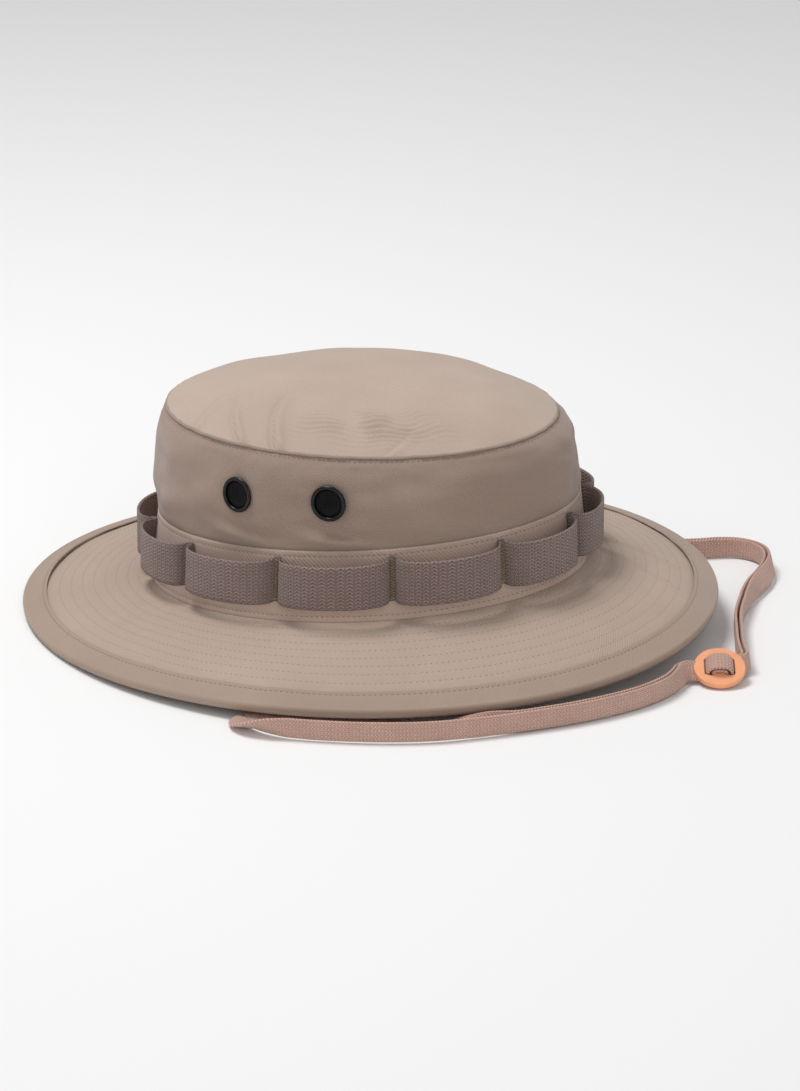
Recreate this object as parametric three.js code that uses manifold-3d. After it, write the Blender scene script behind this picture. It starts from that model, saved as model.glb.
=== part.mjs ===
// Boonie hat: soft crown, wide stitched brim, branch-loop webbing, screened vents and a
// chin lace with a leather keeper. Millimetres, +Z up, +X towards the front of the hat,
// origin on the supporting surface under the middle of the brim.
import * as THREE from 'three';
import Module from 'manifold-3d';

const wasm = await Module();
wasm.setup();

// ---- driving dimensions ----
const HEAD_LENGTH = 200;
const HEAD_WIDTH = 167;
const BRIM_WIDTH = 59.4;
const HEADLINE_HEIGHT = 23.5;
const BAND_HEIGHT = 31;
const SEAM_HEIGHT = 97.4;
const SEAM_RADIUS = 91.2;
const DOME_RISE = 13;
const CROWN_SLUMP = 3.5;
const TOP_FLAT_RADIUS = 20;
const FABRIC = 0.6;
const GAP = 0.3;
const FRONT_RISE_AT_BAND = 10.4;
const FRONT_RISE_AT_SEAM = 2.2;
const SWEATBAND_HEIGHT = 30;
const LOOP_COUNT = 12;
const WEBBING_WIDTH = 20;
const VENT_DIAMETER = 15.8;
const LACE_WIDTH = 9;
const LACE_THICKNESS = 1.6;
const KEEPER_DIAMETER = 22.5;

// ---- derived sizes shared by several pieces ----
const SEGMENTS = 60;
const NARROWING = (HEAD_LENGTH - HEAD_WIDTH) / 2;
const SWEATBAND_INNER = HEAD_LENGTH / 2;
const CROWN_INNER = SWEATBAND_INNER + FABRIC + GAP;
const BAND_INNER = CROWN_INNER + FABRIC + GAP;
const BAND_OUTER = BAND_INNER + FABRIC;
const RIM_RADIUS = BAND_OUTER + BRIM_WIDTH;
const BAND_TOP = HEADLINE_HEIGHT + BAND_HEIGHT;
const BAND_LEAN = 3.4 / BAND_HEIGHT;
const SEWN_MARGIN = 0.2;

const deg = THREE.MathUtils.degToRad;
const clamp = THREE.MathUtils.clamp;

// ---- materials ----
const fabricMaterial = (color) => new THREE.MeshStandardMaterial({
  color, roughness: 0.9, metalness: 0,
});
const khaki = fabricMaterial(0xb19b8d);
const khakiUnder = fabricMaterial(0x8a7868);
const bindingTan = fabricMaterial(0xa89285);
const webbingBrown = fabricMaterial(0x705f5c);
const threadTan = fabricMaterial(0x8a7462);
const laceTan = fabricMaterial(0xb89384);
const interlining = fabricMaterial(0xd8d0c4);
const leather = new THREE.MeshStandardMaterial({ color: 0xd9986f, roughness: 0.6, metalness: 0 });
const blackMetal = new THREE.MeshStandardMaterial({ color: 0x151515, roughness: 0.4, metalness: 0.6 });

const group = new THREE.Group();
group.name = 'boonie_hat';

function add(name, geometry, material) {
  geometry.computeVertexNormals();
  const mesh = new THREE.Mesh(geometry, material);
  mesh.name = name;
  group.add(mesh);
  return mesh;
}

// ---- the shape every hat layer follows ----
// Half width of the oval ring whose half length is radius.
function halfWidth(radius) {
  return radius * (1 - NARROWING / Math.max(radius, SEAM_RADIUS));
}

// Rise of a crown ring at angle t: the front stands higher at the band, less at the top seam.
function crownWave(t, height) {
  const towardsSeam = clamp((height - BAND_TOP) / (SEAM_HEIGHT - BAND_TOP), 0, 1);
  const rise = THREE.MathUtils.lerp(FRONT_RISE_AT_BAND, FRONT_RISE_AT_SEAM, towardsSeam);
  return rise * Math.cos(t);
}

// How the soft brim's edge lies: its mean rise, and how much more at the front, at the left,
// at the front left and back right corners, and at the two sides.
const RIM_RISE = { mean: 5.5, front: 7.2, left: 3.2, corners: 1.2, sides: 1 };

// Rise of the brim's edge at angle t, where it isn't lying on the surface.
function rimWave(t) {
  const once = RIM_RISE.front * Math.cos(t) + RIM_RISE.left * Math.sin(t);
  const twice = RIM_RISE.corners * Math.sin(2 * t) - RIM_RISE.sides * Math.cos(2 * t);
  return Math.max(0, RIM_RISE.mean + once + twice);
}

// How far the soft crown sits back at a height above the band.
function slump(height) {
  return CROWN_SLUMP * clamp((height - BAND_TOP) / (SEAM_HEIGHT - BAND_TOP), 0, 1);
}

// Point of the hat at angle t for a profile point given by its half length and height.
function hatPoint(t, radius, height) {
  const onBrim = clamp((radius - BAND_OUTER) / BRIM_WIDTH, 0, 1);
  const offFlat = clamp((radius - TOP_FLAT_RADIUS) / (SEAM_RADIUS - TOP_FLAT_RADIUS), 0, 1);
  const wave = THREE.MathUtils.lerp(crownWave(t, height), rimWave(t), onBrim);
  return new THREE.Vector3(
    radius * Math.cos(t) - slump(height),
    halfWidth(radius) * Math.sin(t),
    height + wave * offFlat + hatLift,
  );
}

// Closed ring, or a disc when the profile ends on the axis, swept around the hat's oval.
function hatRing(profile, segments = SEGMENTS, place = hatPoint) {
  const points = profile.map(([radius, height]) => new THREE.Vector2(radius, height));
  const geometry = new THREE.LatheGeometry(points, segments);
  const position = geometry.attributes.position;
  for (let i = 0; i < position.count; i += 1) {
    const t = Math.atan2(position.getX(i), position.getZ(i));
    const radius = Math.hypot(position.getX(i), position.getZ(i));
    const p = place(t, radius, position.getY(i));
    position.setXYZ(i, p.x, p.y, p.z);
  }
  return geometry;
}

// Closes a profile on itself, running it anticlockwise so that its faces point outwards.
function closed(profile) {
  const area = THREE.ShapeUtils.area(profile.map(([x, y]) => new THREE.Vector2(x, y)));
  const ordered = area > 0 ? profile : [...profile].reverse();
  return [...ordered, ordered[0]];
}

// Profile of a layer of given thickness under or inside a line of outer points.
function layer(outer, thickness, direction) {
  const inner = outer.map(([radius, height]) => [
    radius + direction[0] * thickness,
    height + direction[1] * thickness,
  ]);
  return [...outer, ...inner.reverse()];
}

const INWARD = [-1, 0];
const DOWNWARD = [0, -1];

// Half length of the band's outer face, which leans in towards its top.
const bandFace = (height) => BAND_OUTER - BAND_LEAN * (height - HEADLINE_HEIGHT);

// ---- brim: two fabric layers over an interlining, bound at the edge ----
const INTERLINING = 0.5;
const BRIM_STACK = 2 * FABRIC + INTERLINING + 2 * GAP;
const BINDING_FABRIC = 0.6;
const BINDING_WIDTH = 11;
const BINDING_DROP = GAP + BINDING_FABRIC;
const RIM_TOP = BRIM_STACK + BINDING_DROP;
const BRIM_BOW = 2;
const BRIM_SINK = 0.5;
const BRIM_UNDERLAP = 1;
const BINDING_ROUNDING = 1.2;

// Height of the brim's top face, which bows up a little between the headline and the edge.
function brimTopHeight(radius) {
  const out = Math.max(0, (radius - BAND_OUTER) / BRIM_WIDTH);
  const bow = BRIM_BOW * 4 * out * (1 - out);
  return THREE.MathUtils.lerp(HEADLINE_HEIGHT - BRIM_SINK, RIM_TOP, out) + bow;
}

function brimLine(start, end, below, stations = 3) {
  const line = [];
  for (let i = 0; i <= stations; i += 1) {
    const radius = start + ((end - start) * i) / stations;
    line.push([radius, brimTopHeight(radius) - below]);
  }
  return line;
}

function brimLayer(thickness, below) {
  const inner = BAND_INNER - BRIM_UNDERLAP;
  const end = RIM_RADIUS - BINDING_FABRIC - GAP;
  const line = [[inner, brimTopHeight(inner) - below], ...brimLine(BAND_OUTER, end, below)];
  return closed(layer(line, thickness, DOWNWARD));
}

function bindingProfile() {
  const start = RIM_RADIUS - BINDING_WIDTH;
  const roundedFrom = RIM_RADIUS - BINDING_ROUNDING;
  const upper = brimLine(start, roundedFrom, -BINDING_DROP, 1);
  const middle = brimTopHeight(RIM_RADIUS) - BRIM_STACK / 2;
  const lower = brimLine(start, roundedFrom, BRIM_STACK + BINDING_DROP, 1).reverse();
  const insideUpper = brimLine(start, RIM_RADIUS - BINDING_FABRIC, -GAP, 1).reverse();
  const insideLower = brimLine(start, RIM_RADIUS - BINDING_FABRIC, BRIM_STACK + GAP, 1);
  return closed([...upper, [RIM_RADIUS, middle], ...lower, ...insideLower, ...insideUpper]);
}

// The lowest point of the binding touches the supporting surface.
let hatLift = 0;
{
  const box = new THREE.Box3().setFromBufferAttribute(hatRing(bindingProfile()).attributes.position);
  hatLift = -box.min.z;
}

add('brim_upper', hatRing(brimLayer(FABRIC, 0)), khaki);
add('brim_interlining', hatRing(brimLayer(INTERLINING, FABRIC + GAP)), interlining);
add('brim_under', hatRing(brimLayer(FABRIC, FABRIC + INTERLINING + 2 * GAP)), khakiUnder);
add('brim_binding', hatRing(bindingProfile()), bindingTan);

// ---- crown: side wall, top, band and sweatband ----
// Outer face of the side wall, from just above the band up to the top seam.
const SHOULDER = [
  [98.9, BAND_TOP + 1],
  [98.9, 66],
  [98.3, 77],
  [96.9, 86],
  [94.6, 92],
  [SEAM_RADIUS, SEAM_HEIGHT - 1],
];

function crownSideGeometry() {
  const foot = HEADLINE_HEIGHT + SEWN_MARGIN;
  const behindBand = FABRIC + GAP;
  const outer = [
    [bandFace(foot) - behindBand, foot],
    [bandFace(BAND_TOP) - behindBand, BAND_TOP + SEWN_MARGIN],
    ...SHOULDER,
  ];
  return hatRing(closed(layer(outer, FABRIC, INWARD)));
}

function crownTopGeometry() {
  const stations = [1, 0.95, 0.85, 0.68, 0.45];
  const outer = stations.map((part) => [
    (SEAM_RADIUS - SEWN_MARGIN) * part,
    SEAM_HEIGHT + DOME_RISE * (1 - part ** 4),
  ]);
  const peak = SEAM_HEIGHT + DOME_RISE;
  const topFace = [...outer, [TOP_FLAT_RADIUS, peak], [0, peak]];
  const underFace = topFace.map(([radius, height]) => [radius, height - FABRIC]).reverse();
  return hatRing([...underFace, ...topFace]);
}

function bandGeometry() {
  const outer = [
    [bandFace(HEADLINE_HEIGHT), HEADLINE_HEIGHT],
    [bandFace(BAND_TOP), BAND_TOP],
  ];
  return hatRing(closed(layer(outer, FABRIC, INWARD)));
}

function sweatbandGeometry() {
  const inside = FABRIC * 2 + GAP * 2;
  const bottom = HEADLINE_HEIGHT + SEWN_MARGIN;
  const top = HEADLINE_HEIGHT + SWEATBAND_HEIGHT;
  const outer = [
    [bandFace(bottom) - inside, bottom],
    [bandFace(top) - inside, top],
  ];
  return hatRing(closed(layer(outer, FABRIC, INWARD)));
}

add('crown_top', crownTopGeometry(), khaki);
add('hat_band', bandGeometry(), khaki);
add('sweatband', sweatbandGeometry(), khakiUnder);

// ---- branch-loop webbing: one strip tacked to the band at every loop's ends ----
const WEBBING_THICKNESS = 1.3;
const WEBBING_BULGE = 6.8;
const WEBBING_SAG = 1.4;
const WEBBING_RAISE = 8.6;
const WEBBING_FOOT = HEADLINE_HEIGHT + WEBBING_RAISE;
const WEBBING_INNER = BAND_OUTER + GAP;
const TACK_MARGIN = 1 / 12;
const LOOP_FULLNESS = 0.6;
const LOOP_CROWDING = 0.12;
const LOOP_ANGLE = (2 * Math.PI) / LOOP_COUNT;

// How far round a loop a station lies, 0 at one tack and 1 at the next.
const loopPart = (t) => {
  const turns = t / LOOP_ANGLE;
  return turns - Math.floor(turns + 1e-9);
};

// The webbing follows the leaning band at its tacks and stands upright in the middle of a loop.
function webbingPoint(t, radius, height) {
  const part = loopPart(t);
  const opened = clamp((part - TACK_MARGIN) / (1 - 2 * TACK_MARGIN), 0, 1);
  const bulge = Math.sin(Math.PI * opened) ** LOOP_FULLNESS;
  const crowded = t - LOOP_ANGLE * LOOP_CROWDING * Math.sin(2 * Math.PI * part);
  const leaning = THREE.MathUtils.lerp(height - HEADLINE_HEIGHT, WEBBING_RAISE, bulge);
  const lean = BAND_LEAN * leaning;
  return hatPoint(crowded, radius - lean + WEBBING_BULGE * bulge, height - WEBBING_SAG * bulge);
}

function webbingGeometry() {
  const outer = [
    [WEBBING_INNER + WEBBING_THICKNESS, WEBBING_FOOT],
    [WEBBING_INNER + WEBBING_THICKNESS, WEBBING_FOOT + WEBBING_WIDTH],
  ];
  const stationsPerLoop = 12;
  const profile = closed(layer(outer, WEBBING_THICKNESS, INWARD));
  return hatRing(profile, LOOP_COUNT * stationsPerLoop, webbingPoint);
}

add('branch_loop_webbing', webbingGeometry(), webbingBrown);

// Puts a geometry built about its own Z axis at a point, with Z along outward.
function setOn(geometry, point, outward, up) {
  const x = new THREE.Vector3().crossVectors(up, outward).normalize();
  const y = new THREE.Vector3().crossVectors(outward, x);
  geometry.applyMatrix4(new THREE.Matrix4().makeBasis(x, y, outward).setPosition(point));
  return geometry;
}

// Outward normal and rising direction of a surface given as a function of angle and height.
function surfaceFrame(surface, t, height) {
  const along = surface(t + 0.01, height).sub(surface(t - 0.01, height));
  const up = surface(t, height + 1).sub(surface(t, height - 1)).normalize();
  const outward = new THREE.Vector3().crossVectors(along, up).normalize();
  return { point: surface(t, height), outward, up };
}

// Bar tack: a close row of thread across the webbing at the end of each loop.
function addTacks() {
  const tackThickness = 0.6;
  const tackWidth = 2;
  const tackShortening = 1.5;
  const curveAllowance = 0.1;
  const faceRadius = WEBBING_INNER + WEBBING_THICKNESS + GAP + curveAllowance;
  const face = (t, height) => hatPoint(
    t,
    faceRadius - BAND_LEAN * (height - HEADLINE_HEIGHT) + tackThickness / 2,
    height,
  );
  for (let i = 0; i < LOOP_COUNT; i += 1) {
    const middle = WEBBING_FOOT + WEBBING_WIDTH / 2;
    const { point, outward, up } = surfaceFrame(face, i * LOOP_ANGLE, middle);
    const box = new THREE.BoxGeometry(tackWidth, WEBBING_WIDTH - tackShortening, tackThickness);
    add(`bar_tack_${i + 1}`, setOn(box, point, outward, up), threadTan);
  }
}
addTacks();

// ---- vents: screened eyelets with a backing washer, two on each side ----
const VENT_HEIGHT = 77.3;
const VENT_HALF_SPREAD = deg(13.1);
const VENT_FORWARD = deg(1.3);
const BARREL_RADIUS = 6.4;
const FLANGE_RADIUS = VENT_DIAMETER / 2;
const BARREL_WALL = 0.4;
const BARREL_DEPTH = 3.6;
const FLANGE_LIFT = GAP + 0.1;
const FLANGE_EDGE = 0.9;
const FLANGE_CREST = 1.5;
const WALL_CURVE = 0.6;
const WASHER_THICKNESS = 0.7;
const SCREEN_HALF = 0.25;
const ventAngles = [-1, 1].flatMap((side) => [
  side * (Math.PI / 2 - VENT_FORWARD) - VENT_HALF_SPREAD,
  side * (Math.PI / 2 - VENT_FORWARD) + VENT_HALF_SPREAD,
]);

// Outer face of the side wall above the band, at angle t and a given height.
function wallFace(t, height) {
  let i = 0;
  while (i < SHOULDER.length - 2 && SHOULDER[i + 1][1] < height) i += 1;
  const [lowRadius, low] = SHOULDER[i];
  const [highRadius, high] = SHOULDER[i + 1];
  const part = (height - low) / (high - low);
  return hatPoint(t, THREE.MathUtils.lerp(lowRadius, highRadius, part), height);
}

// Turned piece about local Z, from a closed profile of [radius, height] points.
function turned(profile, segments = 16) {
  const points = profile.map(([radius, height]) => new THREE.Vector2(radius, height));
  return new THREE.LatheGeometry(points, segments).rotateX(Math.PI / 2);
}

function eyeletGeometry() {
  const bore = BARREL_RADIUS - BARREL_WALL;
  return turned(closed([
    [bore, -BARREL_DEPTH],
    [BARREL_RADIUS, -BARREL_DEPTH],
    [BARREL_RADIUS, FLANGE_LIFT],
    [FLANGE_RADIUS, FLANGE_LIFT],
    [FLANGE_RADIUS, FLANGE_EDGE],
    [BARREL_RADIUS + BARREL_WALL, FLANGE_CREST],
    [bore, FLANGE_CREST - GAP],
  ]));
}

function screenGeometry() {
  const radius = BARREL_RADIUS - BARREL_WALL - GAP;
  return turned([
    [0, -SCREEN_HALF], [radius, -SCREEN_HALF], [radius, SCREEN_HALF], [0, SCREEN_HALF],
  ]);
}

function washerGeometry() {
  const face = -FABRIC - GAP - WALL_CURVE;
  const outside = FLANGE_RADIUS - GAP;
  return turned(closed([
    [BARREL_RADIUS + GAP, face - WASHER_THICKNESS],
    [outside, face - WASHER_THICKNESS],
    [outside, face],
    [BARREL_RADIUS + GAP, face],
  ]));
}

function toManifold(geometry) {
  const position = geometry.attributes.position;
  const key = (i) => [position.getX(i), position.getY(i), position.getZ(i)]
    .map((value) => Math.round(value * 1e4)).join(' ');
  const ids = new Map();
  const vertProperties = [];
  const remap = [];
  for (let i = 0; i < position.count; i += 1) {
    const name = key(i);
    if (!ids.has(name)) {
      ids.set(name, ids.size);
      vertProperties.push(position.getX(i), position.getY(i), position.getZ(i));
    }
    remap.push(ids.get(name));
  }
  const triVerts = [];
  for (let i = 0; i < geometry.index.count; i += 3) {
    const corners = [0, 1, 2].map((k) => remap[geometry.index.getX(i + k)]);
    if (new Set(corners).size === 3) triVerts.push(...corners);
  }
  return new wasm.Manifold(new wasm.Mesh({
    numProp: 3,
    vertProperties: Float32Array.from(vertProperties),
    triVerts: Uint32Array.from(triVerts),
  }));
}

function fromManifold(solid) {
  const mesh = solid.getMesh();
  const geometry = new THREE.BufferGeometry();
  geometry.setAttribute('position', new THREE.Float32BufferAttribute(mesh.vertProperties, 3));
  geometry.setIndex(Array.from(mesh.triVerts));
  return geometry;
}

function addVentsAndWall() {
  let wall = toManifold(crownSideGeometry());
  const hole = BARREL_RADIUS + GAP;
  ventAngles.forEach((angle, i) => {
    const { point, outward, up } = surfaceFrame(wallFace, angle, VENT_HEIGHT);
    const place = (geometry) => setOn(geometry, point, outward, up);
    const drill = turned([[0, -hole], [hole, -hole], [hole, hole], [0, hole]]);
    wall = wall.subtract(toManifold(place(drill)));
    add(`vent_eyelet_${i + 1}`, place(eyeletGeometry()), blackMetal);
    add(`vent_screen_${i + 1}`, place(screenGeometry()), blackMetal);
    add(`vent_washer_${i + 1}`, place(washerGeometry()), blackMetal);
  });
  add('crown_side', fromManifold(wall), khaki);
}
addVentsAndWall();

// ---- chin lace and keeper ----
// One flat lace: both ends hang from the sweatband and its two strands run face to face
// through the keeper to a loop. Each control is [x, y, tilt], with the lace lying on the
// surface at that tilt: 0 is flat and -90 on its edge. A fourth number is the height of a
// control that hangs clear of the surface.
const FACE_GAP = 0.7;
const STRAND_OFFSET = (LACE_THICKNESS + FACE_GAP) / 2;
const LACE_ROUNDING = 0.5;
const LYING_GAP = 0.4;

const LEFT_LEAD = [
  [0, 80.8, 0, 33], [0, 81, 0, 25], [0, 82, 0, 17], [2, 86.5, 0, 10.5], [12, 95, -15, 6.5],
  [30, 105.5, -50, 5], [50, 111.5, -80], [72, 115, -90], [91, 121, -90],
];
const RIGHT_LEAD = [
  [0, -80.8, 0, 33], [0, -80.8, 0, 25], [0, -78.5, 0, 16], [2, -72, 0, 8], [9, -58, 0, 3],
  [18, -38, 0], [28, -10, 0], [38, 20, 0], [48, 50, 0], [56, 72, -15], [65, 91, -45],
  [77, 105, -80], [93.5, 116.5, -90],
];
const FAR_RUN = [
  [108, 129, -90], [116, 135.2, -90], [124, 138.7, -90], [132, 138.3, -90], [139, 134.5, -88],
  [144.5, 127.5, -80], [148.5, 118, -65], [150.5, 107, -55], [151.5, 96, -60], [153, 84, -75],
  [156, 69, -90], [161.5, 51, -90], [169, 34, -90], [175, 21, -90], [180.5, 11, -88],
  [184.5, 4, -80],
];
const NEAR_RUN = [
  [165.4, -19, -60], [165.6, -27, -75], [165, -35, -88], [163, -44, -90], [159, -55, -90],
  [154, -64.5, -90], [148.8, -73, -90], [143, -81.3, -90], [135, -91, -90], [125, -102, -90],
];
const FRONT_STRAND = [
  [113, -115.5, -90], [100, -127, -90], [85, -136.5, -90], [68, -144.5, -90], [53, -150, -90],
  [42, -153.2, -95], [33, -155, -120], [25, -155, -150], [19.5, -152.8, -172],
  [16.5, -148.8, -180], [16.8, -144.4, -180],
];
const TUCKED_STRAND = [
  [116, -107.2, -72], [108, -112.8, -42], [99.5, -117, -18], [90, -119.5, -5],
  [75, -122.5, 0], [57, -128, 0], [42, -132.5, 0], [29, -136.3, 0], [20.5, -140, 0],
];

const KEEPER_THICKNESS = 2.4;
const KEEPER_CENTRE = new THREE.Vector3(178.2, -10, 5.95);
const KEEPER_TRAVEL = new THREE.Vector3(-0.889, -0.459, 0).normalize();
const KEEPER_NORMAL = new THREE.Vector3(0.19, -0.369, 0.91)
  .projectOnPlane(KEEPER_TRAVEL).normalize();
const KEEPER_ACROSS = new THREE.Vector3().crossVectors(KEEPER_NORMAL, KEEPER_TRAVEL);
const BRIDGE_HALF = 1.8;
const SLOT_WIDTH = 4.9;
const SLOT_LENGTH = LACE_WIDTH + 1.2;
const SLOT_CORNER = 1;
const SLOT_MIDDLE = BRIDGE_HALF + SLOT_WIDTH / 2;
const OVER = KEEPER_THICKNESS / 2 + STRAND_OFFSET + LACE_THICKNESS / 2 + LYING_GAP;
const UNDER = 2.2;

// Lace through both slots and over the bridge: [along the travel, along the disc's normal].
const HUMP_HALF = [[0, OVER], [2.6, OVER - 0.3], [SLOT_MIDDLE - 0.4, 1.8], [SLOT_MIDDLE, 0],
  [SLOT_MIDDLE, -UNDER]];
const HUMP = [
  ...HUMP_HALF.slice(1).reverse().map(([along, above]) => [-along, above]),
  ...HUMP_HALF,
];

function laceSection() {
  const w = LACE_WIDTH / 2;
  const h = LACE_THICKNESS / 2;
  const round = LACE_ROUNDING;
  const corners = [
    [w, h - round], [w - round, h], [round - w, h], [-w, h - round],
    [-w, round - h], [round - w, -h], [w - round, -h], [w, round - h],
  ];
  return new THREE.Shape(corners.map(([x, y]) => new THREE.Vector2(y, x)));
}

// A curve that carries the direction of the lace's width along with its centreline.
class LacePath extends THREE.CatmullRomCurve3 {
  constructor(stations) {
    super(stations.map((station) => station.point), false, 'centripetal');
    this.widths = stations.map((station) => station.width);
  }

  computeFrenetFrames(steps) {
    const tangents = [];
    const normals = [];
    const binormals = [];
    for (let i = 0; i <= steps; i += 1) {
      const along = this.getUtoTmapping(i / steps) * (this.widths.length - 1);
      const k = Math.min(Math.floor(along), this.widths.length - 2);
      const tangent = this.getTangentAt(i / steps);
      const width = this.widths[k].clone().lerp(this.widths[k + 1], along - k)
        .projectOnPlane(tangent).normalize();
      tangents.push(tangent);
      normals.push(new THREE.Vector3().crossVectors(width, tangent));
      binormals.push(width);
    }
    return { tangents, normals, binormals };
  }
}

// Places stations beside a line of points; widthAt gives the lace's width direction.
function stationsBeside(points, offsetAt, widthAt) {
  return points.map((point, i) => {
    const before = points[Math.max(i - 1, 0)];
    const after = points[Math.min(i + 1, points.length - 1)];
    const tangent = after.clone().sub(before).normalize();
    const width = widthAt(tangent, i);
    const normal = new THREE.Vector3().crossVectors(tangent, width);
    return { point: point.clone().addScaledVector(normal, offsetAt(i)), width };
  });
}

// Height of a lace's middle where it rests at a tilt, or of the middle of two face to face.
function lyingHeight(tilt, offset) {
  const standing = (LACE_WIDTH / 2) * Math.abs(Math.sin(deg(tilt)));
  const flat = (LACE_THICKNESS / 2 + Math.abs(offset)) * Math.abs(Math.cos(deg(tilt)));
  return standing + flat + LYING_GAP;
}

// Stations of one strand over runs of controls, each run with its own sideways offset.
function strand(...runs) {
  const controls = runs.flatMap(([run, offset]) => run.map((control) => ({ control, offset })));
  const points = controls.map(({ control: [x, y, tilt, z], offset }) => (
    new THREE.Vector3(x, y, z ?? lyingHeight(tilt, offset))
  ));
  const widthAt = (tangent, i) => new THREE.Vector3(tangent.y, -tangent.x, 0).normalize()
    .applyAxisAngle(tangent, deg(controls[i].control[2]));
  return stationsBeside(points, (i) => controls[i].offset, widthAt);
}

function humpStations(offset) {
  const points = HUMP.map(([along, above]) => KEEPER_CENTRE.clone()
    .addScaledVector(KEEPER_TRAVEL, along).addScaledVector(KEEPER_NORMAL, above));
  return stationsBeside(points, () => offset, () => KEEPER_ACROSS.clone().negate());
}

function laceGeometry(stations, step) {
  const path = new LacePath(stations);
  path.arcLengthDivisions = 800;
  const steps = Math.ceil(path.getLength() / step);
  return new THREE.ExtrudeGeometry(laceSection(), { extrudePath: path, steps });
}

function keeperGeometry() {
  const shape = new THREE.Shape();
  shape.absarc(0, 0, KEEPER_DIAMETER / 2, 0, 2 * Math.PI);
  const corner = SLOT_WIDTH / 2;
  const straight = SLOT_LENGTH / 2 - SLOT_CORNER;
  for (const side of [-1, 1]) {
    const middle = side * SLOT_MIDDLE;
    const slot = new THREE.Path();
    slot.absellipse(middle, straight, corner, SLOT_CORNER, 0, Math.PI);
    slot.absellipse(middle, -straight, corner, SLOT_CORNER, Math.PI, 2 * Math.PI);
    slot.closePath();
    shape.holes.push(slot);
  }
  const geometry = new THREE.ExtrudeGeometry(shape, {
    depth: KEEPER_THICKNESS, bevelEnabled: false, curveSegments: 10,
  });
  geometry.translate(0, 0, -KEEPER_THICKNESS / 2);
  const basis = new THREE.Matrix4().makeBasis(KEEPER_TRAVEL, KEEPER_ACROSS, KEEPER_NORMAL);
  return geometry.applyMatrix4(basis.setPosition(KEEPER_CENTRE));
}

function addLaceAndKeeper() {
  const step = 8;
  const bridgeStep = 1.4;
  const left = strand([LEFT_LEAD, 0], [FAR_RUN, -STRAND_OFFSET]);
  const right = strand([RIGHT_LEAD, 0], [FAR_RUN, STRAND_OFFSET]);
  const front = strand([NEAR_RUN, -STRAND_OFFSET], [FRONT_STRAND, 0]);
  const tucked = strand([NEAR_RUN, STRAND_OFFSET], [TUCKED_STRAND, 0]);
  add('lace_left', laceGeometry(left, step), laceTan);
  add('lace_right', laceGeometry(right, step), laceTan);
  add('lace_loop', laceGeometry([...front, ...tucked.reverse()], step), laceTan);
  add('lace_bridge_outer', laceGeometry(humpStations(-STRAND_OFFSET), bridgeStep), laceTan);
  add('lace_bridge_inner', laceGeometry(humpStations(STRAND_OFFSET), bridgeStep), laceTan);
  add('keeper', keeperGeometry(), leather);
}
addLaceAndKeeper();

export default group;
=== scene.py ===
"""Boonie hat: cloth, webbing, vents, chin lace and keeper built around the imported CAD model.

Lengths are in millimetres until a mesh is made, then in metres. A place on the hat is an
angle t, from +X towards +Y, a radius, which is half the length of its oval, and a height.
"""

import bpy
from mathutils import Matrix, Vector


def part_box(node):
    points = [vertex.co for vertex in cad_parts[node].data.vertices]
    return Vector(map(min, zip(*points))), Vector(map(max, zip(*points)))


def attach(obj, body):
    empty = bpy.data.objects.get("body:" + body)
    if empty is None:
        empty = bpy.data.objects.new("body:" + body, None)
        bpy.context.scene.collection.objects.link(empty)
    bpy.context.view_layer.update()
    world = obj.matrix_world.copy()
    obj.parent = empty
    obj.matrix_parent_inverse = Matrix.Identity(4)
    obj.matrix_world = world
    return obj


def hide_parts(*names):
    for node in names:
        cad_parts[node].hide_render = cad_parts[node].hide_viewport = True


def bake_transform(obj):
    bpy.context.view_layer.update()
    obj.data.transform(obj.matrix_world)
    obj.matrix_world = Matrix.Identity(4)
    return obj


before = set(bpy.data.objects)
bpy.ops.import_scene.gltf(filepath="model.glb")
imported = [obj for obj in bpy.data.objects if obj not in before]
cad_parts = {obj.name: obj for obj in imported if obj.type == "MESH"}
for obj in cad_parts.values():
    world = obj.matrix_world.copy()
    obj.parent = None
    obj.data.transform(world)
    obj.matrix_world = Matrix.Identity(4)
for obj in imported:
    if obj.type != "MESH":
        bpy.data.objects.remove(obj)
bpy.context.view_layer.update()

import math

import bpy
from mathutils import Matrix, Vector, noise

MM = 0.001

# ---- driving dimensions, as in the CAD model ----
HEAD_LENGTH = 200
HEAD_WIDTH = 167
BRIM_WIDTH = 59.4
HEADLINE = 23.5
BAND_HEIGHT = 31
SEAM_HEIGHT = 97.4
SEAM_RADIUS = 91.2
DOME_RISE = 13
CROWN_SLUMP = 3.5
FABRIC = 0.6
INTERLINING = 0.5
GAP = 0.3
LOOPS = 12
WEBBING_WIDTH = 20
VENT_DIAMETER = 15.8
LACE_WIDTH = 9
LACE_THICKNESS = 1.6

NARROWING = (HEAD_LENGTH - HEAD_WIDTH) / 2
BAND_OUTER = HEAD_LENGTH / 2 + 3 * FABRIC + 2 * GAP
RIM = BAND_OUTER + BRIM_WIDTH
BAND_TOP = HEADLINE + BAND_HEIGHT
BAND_LEAN = 3.4 / BAND_HEIGHT
TOP_FLAT = 20
BRIM_STACK = 2 * FABRIC + INTERLINING + 2 * GAP
BINDING_LIFT = GAP + FABRIC
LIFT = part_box("crown_top")[1][2] / MM - SEAM_HEIGHT - DOME_RISE

# Points round each ring, and degrees in a radian.
AROUND = 360
DEGREES = 57.3


def clamp(value, low=0.0, high=1.0):
    return max(low, min(high, value))


def lerp(a, b, part):
    return a + (b - a) * part


def bell(value, width):
    return math.exp(-((value / width) ** 2))


def turn_between(t, middle):
    """How far angle t is from another, in degrees, from -180 to 180."""
    return (math.degrees(t) - middle + 180) % 360 - 180


def soft_noise(point, scale, seed=0.0):
    return noise.noise(Vector(point) / scale + Vector((seed, seed * 0.7, -seed)))


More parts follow.
